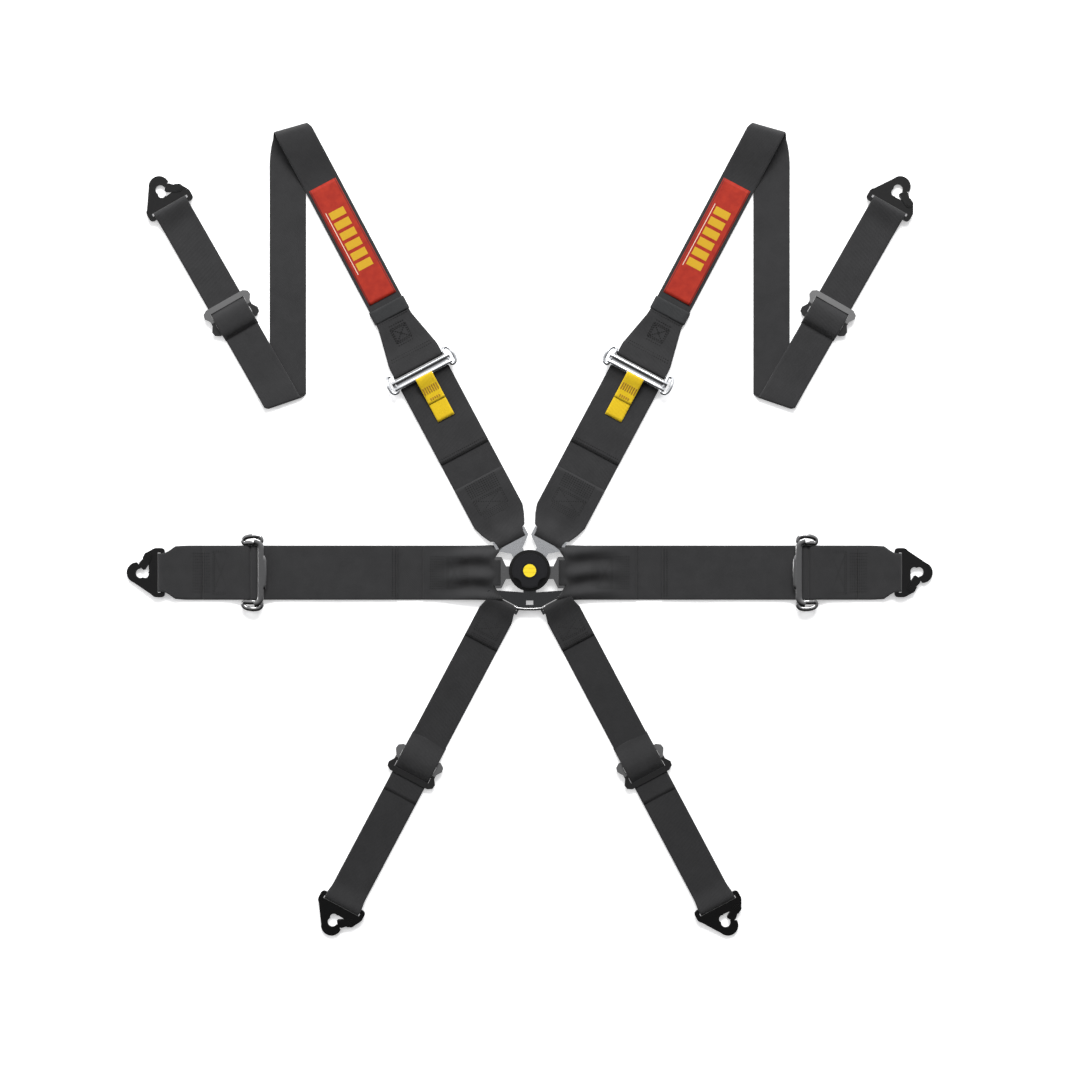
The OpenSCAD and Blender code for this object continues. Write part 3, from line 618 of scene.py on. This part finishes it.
# %% Wide belts
THREADS = WIDE - 4
for side in SIDES:
    sign = 1 if side == "right" else -1
    belts = (
        ("shoulder_lower_strap", f"{side}_shoulder_strap_lift", 92, 132, SHOULDER_LOCK, 20.4, 27,
         3, 1.6, 2.4),
        ("lap_belt", f"{side}_lap_belt_lift", 100, 135, LAP_LOCK, 17.4, 37, 25, 2.6, 7.0),
    )
    for part, joint, sewn, tail, lock, tongue_half, end_half, spill, pleats, size in belts:
        strap = StrapFrame(joint)
        node = f"{side}_{part}"
        widths = [(-2, tongue_half + 0.6), (1, tongue_half + 2), (4, end_half - 5), (8, end_half),
                  (20, (end_half + 40) / 2), (32, WIDE)]
        rows = strap_rows(strap, belt_path(sewn, tail, lock), lambda x: taper(x, widths))
        wave = gathers(95, pleats, size, 0.8 + 0.9 * sign)
        bunch = lambda x, c, wave=wave, strap=strap, spill=spill: (
            Vector((0, 0, wave(x, c))) - strap.along * spill * abs(c) ** 3
            * fade(x, 3, 44) * (1 - fade(x, 0, 8)))
        piece = ribbon(node + "_webbing", rows, strap_webbing, node, node, columns=36, wave=bunch)
        lay(piece, rows)
        top = lambda x, y, wave=wave: HIGH + WEB_T / 2 + wave(x, y / WIDE)
        lines = box_and_cross(44, 66, 22) + dense(70, 88, 24) + dense(36, 41, 20)
        stitches(node + "_box_stitching", strap, lines, top, node)
        lines = seam(tail + 3, THREADS) + seam(tail + 7, THREADS)
        stitches(node + "_tail_hem", strap, lines, top, node)
print("wide belts laid")

# %% [markdown]
# ## Lap hook straps
# A closed length of webbing: round the adjuster's fixed bar at one end and the snap hook's bar
# at the other, sewn together in the middle. The corners are cut at the hook to fit its slot.

# %% Lap hook straps
for side in SIDES:
    strap = StrapFrame(f"{side}_lap_belt_lift")
    node = f"{side}_lap_hook_strap"
    path = ([(408, HIGH), (369, HIGH + 0.4)] + around(LAP_FIXED, BAR_Z, BAR_R, 90, 270, oval=BAR_OVAL)
            + [(369, LOW), (441, LOW)] + around(LAP_HOOK, HOOK_Z, HOOK_R, -90, 90, oval=HOOK_OVAL)
            + [(441, HIGH + 0.4), (408.6, HIGH)])
    widths = [(430, WIDE), (446, 37), (457, 28.5), (463, HOOK_HALF)]
    rows = strap_rows(strap, path, lambda x: taper(x, widths))
    wave = lambda x, c: slow_wave(x, c, 2.0)
    piece = ribbon(node + "_webbing", rows, strap_webbing, node, node, columns=24, wave=wave)
    lay(piece, rows)
    top = lambda x, y: HIGH + WEB_T / 2 + slow_wave(x, y / WIDE, 2.0)
    lines = box_and_cross(371, 393, 30) + dense(398, 420, 29)
    stitches(node + "_box_stitching", strap, lines, top, node)
print("lap hook straps laid")

# %% [markdown]
# ## Crotch straps
# 51 mm webbing, sewn round the crotch plate's bar, looped round the hook's bar, and returned to
# a slider. The humped part rides on the slider: it climbs over the outer bar and the centre bar,
# then dives under the bar on the hook's side.

# %% Crotch straps and slider humps
OVER_AND_DOWN = ((-9, 11.4), (-2, 11.4), (4, 10.2), (8, 7.6), (11, 4.6), (15, 3.4))
GENTLE_CLIMB = ((-42, 0.6), (-34, 3.0), (-26, 6.4), (-17, 9.6))
STEEP_CLIMB = ((-30, 0.8), (-27.5, 1.6), (-26, 5.0), (-24, 8.0), (-18, 10.4))
HUMP_HALF = 26.3


def slider_hump(name, strap, x, body, material, climb):
    """The webbing that a three-bar slider holds up; climb is the way up to the outer bar."""
    path = [(x + a, z) for a, z in climb + OVER_AND_DOWN]
    points = soften(subdivide(path, 2), 3)
    rows = [(strap.point(a, 0, z), strap.across * HUMP_HALF * MM, a) for a, z in points]
    crown = lambda a, c: 0.5 * (1 - c * c)
    piece = ribbon(name, rows, material, body, columns=18, wave=crown)
    return lay(piece, rows)


for side in SIDES:
    strap = StrapFrame(f"{side}_crotch_strap_lift")
    node = f"{side}_crotch_strap"
    path = ([(60, HIGH), (20, HIGH + 0.4)] + around(0, TONGUE_Z, TONGUE_R, 90, 270, oval=CROTCH_OVAL)
            + [(22, LOW), (449, LOW)] + around(CROTCH_HOOK, HOOK_Z, HOOK_R, -90, 90, oval=HOOK_OVAL)
            + [(449, HIGH + 0.4), (234, HIGH)])
    widths = [(0, 21.9), (4, 22.2), (16, NARROW), (456, NARROW), (466, HOOK_HALF)]
    rows = strap_rows(strap, path, lambda x: taper(x, widths))
    wave = gathers(40, 1.5, 0.8, 0.4)
    piece = ribbon(node + "_webbing", rows, crotch_webbing, node, node, columns=20, wave=wave)
    lay(piece, rows)
    top = lambda x, y, wave=wave: HIGH + WEB_T / 2 + wave(x, y / NARROW)
    lines = box_and_cross(26, 48, 18) + dense(52, 57, 19)
    stitches(node + "_box_stitching", strap, lines, top, node)
    body = f"{side}_crotch_slider"
    slider_hump(body + "_webbing_hump", strap, CROTCH_SLIDER, body, crotch_webbing, GENTLE_CLIMB)
    tail_path = [(CROTCH_SLIDER + 10, 3.0), (CROTCH_SLIDER + 47, 3.5)]
    tail = strap_rows(strap, tail_path, lambda x: 25.3)
    piece = ribbon(body + "_webbing_tail", tail, crotch_webbing, body)
    lay(piece, tail)
print("crotch straps laid")

# %% [markdown]
# ## Upper shoulder straps
# One long strip with two slanting folds. Near a fold the rows swing round until they lie along
# the fold line, then they roll over it in a half circle. The top fold is a soft arch, because
# nobody has pressed the webbing flat; the bottom fold is tighter.

# %% Upper shoulder straps
RUN_X = 338.5
TOP_FOLD = (330, 611, -16)
BOTTOM_FOLD = (345, 236, -19)


def meet(start, direction, fold):
    """Where a centre line crosses a fold line."""
    along = Vector((math.cos(math.radians(fold[2])), math.sin(math.radians(fold[2])), 0))
    gap = Vector((fold[0] * MM, fold[1] * MM, 0)) - start
    cross = direction.x * along.y - direction.y * along.x
    t = (gap.x * along.y - gap.y * along.x) / cross
    return start + direction * t


CORNER, ROLL = 48 * MM, 8 * MM


def run_rows(start, end, heights, half_start, half_end, swing=0.09, squeeze=Vector((0, 0, 0))):
    """Rows along one straight run, whose ends lean to lie along the fold lines.

    squeeze pulls the start's outer edge in along a quarter circle, which begins on the rolled fold.
    """
    direction = (end - start).normalized()
    length = (end - start).length
    n = math.ceil(length / 0.004)
    square = half_start - direction * half_start.dot(direction)
    rows = []
    for i in range(n + 1):
        t = length * i / n
        lean_start = half_start.dot(direction) * fade(t, 0, swing)
        lean_end = half_end.dot(direction) * fade(length - t, 0, swing)
        gone = min(1.0, (t + ROLL) / CORNER)
        pull = 1 - math.sqrt(1 - (1 - gone) ** 2)
        middle = start + direction * t + Vector((0, 0, heights(t / MM, (length - t) / MM) * MM))
        narrowing = 1 - squeeze.length / NARROW / MM * pull
        half = (square + direction * (lean_start + lean_end)) * narrowing
        rows.append((middle + squeeze * pull, half, t / MM))
    return rows


def fold_rows(a, b, out, turns=14):
    """Rows that roll from the last row of one run to the first of the next."""
    (pa, ha, _), (pb, hb, _) = a, b
    radius = abs(pa.z - pb.z) / 2
    up = 1 if pa.z > pb.z else -1
    rows = []
    for i in range(1, turns):
        t = i / turns
        turn = math.pi * t
        middle = pa.lerp(pb, t)
        middle.z = (pa.z + pb.z) / 2 + up * radius * math.cos(turn)
        pinch = 1 - 0.05 * math.sin(turn)
        rows.append((middle + out * radius * 1.1 * math.sin(turn), ha.lerp(hb, t) * pinch, 0.0))
    return rows


def along_fold(fold, strap_direction):
    """The half-row that lies along a fold line across a 51 mm strap, and the way out of the fold."""
    turn = math.radians(fold[2])
    line = Vector((math.cos(turn), math.sin(turn), 0))
    width = abs(line.x * strap_direction.y - line.y * strap_direction.x)
    return line * (NARROW * MM / width), Vector((-math.sin(turn), math.cos(turn), 0))


shoulder = StrapFrame("right_shoulder_strap_lift")
leg = StrapFrame("right_shoulder_hook_swivel")
down = Vector((0, -1, 0))
run_top = meet(Vector((RUN_X * MM, 0, 0)), down, TOP_FOLD)
run_bottom = meet(Vector((RUN_X * MM, 0, 0)), down, BOTTOM_FOLD)
slant_start = shoulder.point(FLARE_TUCK, 0, 0)
slant_end = meet(slant_start, shoulder.along, TOP_FOLD)
leg_start = meet(leg.origin, leg.along, BOTTOM_FOLD)
fold_a, out_a = along_fold(TOP_FOLD, shoulder.along)
fold_b, _ = along_fold(TOP_FOLD, down)
fold_c, out_c = along_fold(BOTTOM_FOLD, down)
fold_d, _ = along_fold(BOTTOM_FOLD, leg.along)

arch = lambda to_fold: fade(to_fold, 0, 85)
slant = run_rows(slant_start, slant_end, lambda t, left: RAISED + 15 * arch(left),
                 shoulder.across * NARROW * -MM, fold_a)
run = run_rows(run_top, run_bottom, lambda t, left: LOW + 1.2 * arch(t) + 0.2 * arch(left),
               fold_b, fold_c, squeeze=(slant_end + fold_a - run_top - fold_b) / 2)
leg_length = (leg.origin - leg_start).length / MM
leg_end = leg.point(-22, 0, 0)
rising = run_rows(leg_start, leg_end,
                  lambda t, left: LOW + (RAISED + 3.2 * fade(t, 0, 40) - LOW)
                  * fade(t, leg_length - 206, leg_length - 188), fold_d, leg.across * NARROW * -MM)
loop_path = soften(subdivide(around(0, HOOK_Z, HOOK_R, -90, 90, oval=HOOK_OVAL)
                             + [(-22, HIGH + 0.5), (LEG_RETURN, HIGH)], 5), 2)
turn_back = [(leg.point(x, 0, z), leg.across * NARROW * -MM, x) for x, z in loop_path]
upper_rows = slant + fold_rows(slant[-1], run[0], out_a) + run
upper_rows += fold_rows(run[-1], rising[0], -out_c) + rising + turn_back


def mirrored(rows, side):
    """Rows for the right-hand side, mirrored for the left."""
    if side == "right":
        return rows
    flip = lambda v: Vector((-v.x, v.y, v.z))
    return [(flip(m), flip(h), x) for m, h, x in rows]


for side in SIDES:
    body = f"{side}_shoulder_upper_strap"
    rows = mirrored(upper_rows, side)
    piece = ribbon(body + "_webbing", rows, strap_webbing, body, body, columns=18,
                      wave=lambda x, c: 0.25 * (1 + math.sin(x / 27 + c)))
    lay(piece, rows)
    leg_frame = StrapFrame(f"{side}_shoulder_hook_swivel")
    slider = f"{side}_shoulder_slider"
    slider_hump(slider + "_webbing_hump", leg_frame, LEG_SLIDER, slider, strap_webbing, STEEP_CLIMB)
print("upper shoulder straps laid")

# %% [markdown]
# ## Flare, patch, keeper band and pull tab
# The flare narrows from 76 to 51 mm and is sewn to the strap below it with rows of thread. The
# patch is sewn on as a strip of its own. The keeper is a knitted ring, so its path runs round
# the strap and its rows lie along it.

# %% Small cloth pieces
PATCH_X, PATCH_Z = 376, 3.35
KEEPER_X, KEEPER_L = 348, 19
TAB_BEAD_X, TAB_BEAD_Z, TAB_L, TAB_W = 252, 11.35, 65, 26

for side in SIDES:
    strap = StrapFrame(f"{side}_shoulder_strap_lift")
    upper = f"{side}_shoulder_upper_strap"
    node = f"{side}_shoulder_flare"
    path = ([(299, LOW), (284, LOW + 0.2)] + around(SHOULDER_FIXED, BAR_Z, BAR_R, 270, 90)
            + [(288, 6.2), (304, 3.9), (FLARE_END, 3.75)])
    widths = [(286, WIDE), (338, 26.6), (344, 25.8)]
    rows = strap_rows(strap, path, lambda x: taper(x, widths), 1)
    piece = ribbon(node + "_webbing", rows, strap_webbing, upper, node, columns=22,
                      wave=lambda x, c: 0.3 * (1 + math.sin(x / 11 + 2 * c)) * (1 - fade(x, 276, 292)))
    lay(piece, rows)
    top = lambda x, y: taper(x, [(286, 7.0), (288, 6.8), (304, 4.7), (352, 4.5)]) + 0.2
    edge = lambda x: taper(x, [(286, 33), (338, 22)])
    lines = box_and_cross(311, 333, 12) + seam(307, 12) + seam(337, 12) + seam(290, edge(290))
    lines += seam(294, edge(294)) + seam(345, 22)
    stitches(node + "_stitching", strap, lines, top, upper)

    node = f"{side}_shoulder_patch"
    path = [(PATCH_X, PATCH_Z), (PATCH_X + PATCH_L / MM, PATCH_Z)]
    rows = strap_rows(strap, path, lambda x: PATCH_W / 2 / MM)
    piece = ribbon(node + "_embroidery", rows, patch_cloth, upper, node, thickness=0.9,
                      wave=lambda x, c: 0.25 * (1 + math.sin((x - 303) / 27 + c)))
    lay(piece, rows)

    node = f"{side}_shoulder_keeper_band"
    ring = [(0, 0.7), (-25, 0.7), (-27.4, 1.9), (-27.2, 4.2), (-25, 5.3), (25, 5.3), (27.2, 4.2),
            (27.4, 1.9), (25, 0.7), (1, 0.75)]
    points = soften(subdivide(ring, 3), 1)
    middle = KEEPER_X + KEEPER_L / 2
    rows = [(strap.point(middle, y, z), strap.along * KEEPER_L / 2 * MM, i)
            for i, (y, z) in enumerate(points)]
    piece = ribbon(node + "_elastic", rows, keeper_elastic, node, node, thickness=1.1, columns=8)
    lay(piece, rows)

    node = f"{side}_shoulder_pull_tab"
    path = ([(TAB_BEAD_X - TAB_L, 4.0), (232, 6.6), (246, 8.6)]
            + around(TAB_BEAD_X, TAB_BEAD_Z, 2.5, -90, 90)
            + [(246, 12.8), (240, 10.6), (234, 8.6), (226, 7.2), (214, 6.0)])
    rows = strap_rows(strap, path, lambda x: TAB_W / 2, 1)
    piece = ribbon(node + "_tape", rows, tab_webbing, node, node, thickness=0.9, columns=10)
    lay(piece, rows)
    top = lambda x, y: taper(x, [(214, 6.0), (226, 7.2), (234, 8.6), (240, 10.6)]) + 0.6
    lines = [line for x in (229, 230.7, 232.4, 234.1, 235.8, 237.5) for line in seam(x, 11.8)]
    lines += [line for x in (219, 220.7) for line in seam(x, 8)]
    stitches(node + "_stitching", strap, lines, top, node, thread_brown, 2.6)
print("small cloth pieces laid")

# %% [markdown]
# ## Adjuster frames
# A tilt-lock adjuster is a bent plate with two ears. Its shape is easiest as a few sweeps: a
# profile pushed across the strap for the pressed bar, and a round profile pushed along a loop
# for each ear. The lap adjusters carry a D-shaped lifting handle in place of a yellow tab.

# %% Sweep builder
def shell(verts, faces, rings, closed=False):
    """Joins rings of points with quads and closes the two ends."""
    start, count = len(verts), len(rings[0])
    for ring in rings:
        verts += [tuple(p) for p in ring]
    total = len(rings)
    for i in range(total if closed else total - 1):
        for k in range(count):
            a, b = start + i * count, start + ((i + 1) % total) * count
            m = (k + 1) % count
            faces.append((a + k, a + m, b + m, b + k))
    if not closed:
        faces.append(tuple(start + k for k in reversed(range(count))))
        faces.append(tuple(start + (total - 1) * count + k for k in range(count)))


def round_rings(points, wide, high, sides=16, closed=False):
    """Oval rings along a path of points, standing across it; wide lies flat, high stands up."""
    rings, total = [], len(points)
    for i, p in enumerate(points):
        if closed:
            ahead = points[(i + 1) % total] - points[i - 1]
        else:
            ahead = points[min(i + 1, total - 1)] - points[max(i - 1, 0)]
        ahead.normalize()
        flat = ahead.cross(Vector((0, 0, 1))).normalized()
        up = flat.cross(ahead)
        ring = []
        for k in range(sides):
            turn = 2 * math.pi * k / sides
            ring.append(p + flat * wide * MM * math.cos(turn) + up * high * MM * math.sin(turn))
        rings.append(ring)
    return rings


def smooth_loop(points, passes=3, closed=True):
    """Cuts the corners of a path until it is round."""
    for _ in range(passes):
        cut = []
        pairs = zip(points, points[1:] + points[:1]) if closed else zip(points, points[1:])
        for a, b in pairs:
            cut += [tuple(p * 0.75 + q * 0.25 for p, q in zip(a, b)),
                    tuple(p * 0.25 + q * 0.75 for p, q in zip(a, b))]
        points = cut if closed else [points[0]] + cut + [points[-1]]
    return points


def solid(name, verts, faces, material, body, node):
    """One smooth-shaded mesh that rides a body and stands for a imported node."""
    mesh = bpy.data.meshes.new(name)
    mesh.from_pydata(verts, [], faces)
    mesh.update()
    for face in mesh.polygons:
        face.use_smooth = True
    mesh.materials.append(material)
    piece = bpy.data.objects.new(name, mesh)
    bpy.context.collection.objects.link(piece)
    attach(piece, body)
    if node:
        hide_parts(node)
    bpy.context.view_layer.objects.active = piece
    bpy.ops.object.select_all(action="DESELECT")
    piece.select_set(True)
    bpy.ops.object.mode_set(mode="EDIT")
    bpy.ops.mesh.select_all(action="SELECT")
    bpy.ops.mesh.normals_make_consistent(inside=False)
    bpy.ops.object.mode_set(mode="OBJECT")
    edges = piece.modifiers.new("soft_edges", "BEVEL")
    edges.width = 0.35 * MM
    edges.segments = 2
    edges.limit_method = "ANGLE"
    edges.angle_limit = math.radians(50)
    return piece


print("sweep builder ready")

# %% Adjuster frames
BAR_PROFILE = ((-6.3, 9.9), (-6.6, 11.2), (-5.6, 12.6), (-3.8, 13.2), (-2.2, 12.5), (-1.0, 12.0),
               (2.0, 12.0), (3.4, 12.6), (5.0, 13.3), (7.0, 12.9), (8.2, 11.6), (8.3, 10.2),
               (7.4, 9.9), (6.6, 11.0), (-4.8, 11.0), (-5.3, 9.9))
EAR_PROFILE = ((-8, 10.2), (-7, 12.2), (7, 12.2), (12, 10.4), (17.2, 7.6), (18.2, 4.5), (17, 1.4),
               (14, 1.0), (-4, 1.0), (-7.4, 3.0))
EAR_LOOP = ((-7, 41), (-9, 46), (-5, 50.5), (4, 51.3), (14, 49.5), (18, 45), (16, 40.5), (10, 41.5))
HANDLE = ((2, 44), (-4, 42), (-7, 38), (-7.5, 30), (-7.5, -30), (-7, -38), (-4, -42), (2, -44))
HANDLE_TONGUE = ((-10, -23), (-12, -17), (-12.4, 0), (-12, 17), (-10, 23))

for side in SIDES:
    for part, lock, material, with_handle in (("shoulder", SHOULDER_LOCK, bright_chrome, False),
                                              ("lap", LAP_LOCK, lap_chrome, True)):
        hinge = "shoulder_strap_lift" if part == "shoulder" else "lap_belt_lift"
        strap = StrapFrame(f"{side}_{hinge}")
        place = lambda x, y, z, strap=strap, lock=lock: strap.point(lock + x, y, z)
        verts, faces = [], []
        ear_w = 3.3 if with_handle else 2.6
        if with_handle:
            path = [Vector(place(x, y, 11.6)) for x, y in smooth_loop(list(HANDLE), 3, False)]
            shell(verts, faces, round_rings(path, 4.6, 1.6))
            tongue = [Vector(place(x, y, 11.4)) for x, y in HANDLE_TONGUE]
            shell(verts, faces, round_rings(tongue, 3.4, 1.2))
        else:
            shell(verts, faces, [[place(x, y, z) for x, z in BAR_PROFILE] for y in range(-45, 46, 10)])
            shell(verts, faces, [[place(-6 + 1.5 * math.cos(t), y, 11.35 + 1.5 * math.sin(t))
                                  for t in [math.pi * k / 6 for k in range(12)]]
                                 for y in (-13.5, 13.5)])
        for s in (1, -1):
            loop_points = [Vector(place(x, s * y, 10.6 - 0.25 * max(0, x - 6)))
                           for x, y in smooth_loop(list(EAR_LOOP), 2)]
            shell(verts, faces, round_rings(loop_points, ear_w, 1.9, closed=True), closed=True)
            shell(verts, faces, [[place(x, s * y, z) for x, z in EAR_PROFILE] for y in (40.6, 43)])
        shell(verts, faces, [[place(14 + 2.8 * math.cos(t), y, BAR_Z + 2.8 * math.sin(t))
                              for t in [math.pi * k / 10 for k in range(20)]] for y in (-42, 42)])
        node = f"{side}_{part}_adjuster_frame"
        solid(node + "_pressing", verts, faces, material, f"{side}_{part}_adjuster", node)

# The crotch plate's lower edge is rolled into a lip.
verts, faces = [], []
lip = [Vector((x * MM, y * MM, 8.0 * MM)) for x, y in ((-22, -50), (-18, -53), (-8, -54), (8, -54),
                                                       (18, -53), (22, -50))]
shell(verts, faces, round_rings(lip, 2.2, 1.6))
solid("crotch_plate_lip", verts, faces, lap_chrome, "crotch_plate", None)
print("adjuster frames built")

# %% [markdown]
# ## Metal and plastic pieces
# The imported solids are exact, so they stay as the visible metal. Real pressed parts never have
# knife edges: a bevel modifier rounds every edge, and the highlights along these rounds are
# what the eye reads as solid metal.

# %% Finish the solid pieces
FINISHES = (
    (("shoulder_tongue",), bright_chrome, 0.7),
    (("lap_tongue",), lap_chrome, 0.9),
    (("crotch_plate",), black_chrome, 0.7),
    (("_slider",), satin_black, 0.7),
    (("_hook", "_gate"), hook_paint, 0.9),
    (("buckle_base", "buckle_housing"), housing_paint, 0.8),
    (("release_knob",), knob_metal, 0.7),
    (("knob_cap",), cap_plastic, 0.5),
    (("knob_emblem",), emblem_enamel, 0.2),
    (("lock_bar", "housing_screws", "centre_post", "cam_rotor", "spring", "latch_"), zinc_steel, 0.1),
)


def finish_for(name):
    """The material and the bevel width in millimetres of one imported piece."""
    for endings, material, bevel in FINISHES:
        if any(name.endswith(e) or (e.endswith("_") and name.startswith(e)) for e in endings):
            return material, bevel
    return zinc_steel, 0.2


kept = [name for name in frame["nodes"] if name in bpy.data.objects
        and not bpy.data.objects[name].hide_render]
for name in kept:
    piece = bpy.data.objects[name]
    material, width = finish_for(name)
    for slot in piece.material_slots:
        slot.link = "OBJECT"
        slot.material = material
    if not any(word in name for word in ("spring", "screws")):
        bevel = piece.modifiers.new("rounded_edges", "BEVEL")
        bevel.width = width * MM
        bevel.segments = 3
        bevel.limit_method = "ANGLE"
        bevel.angle_limit = math.radians(35)
        bevel.harden_normals = True
print(len(kept), "solid pieces finished")
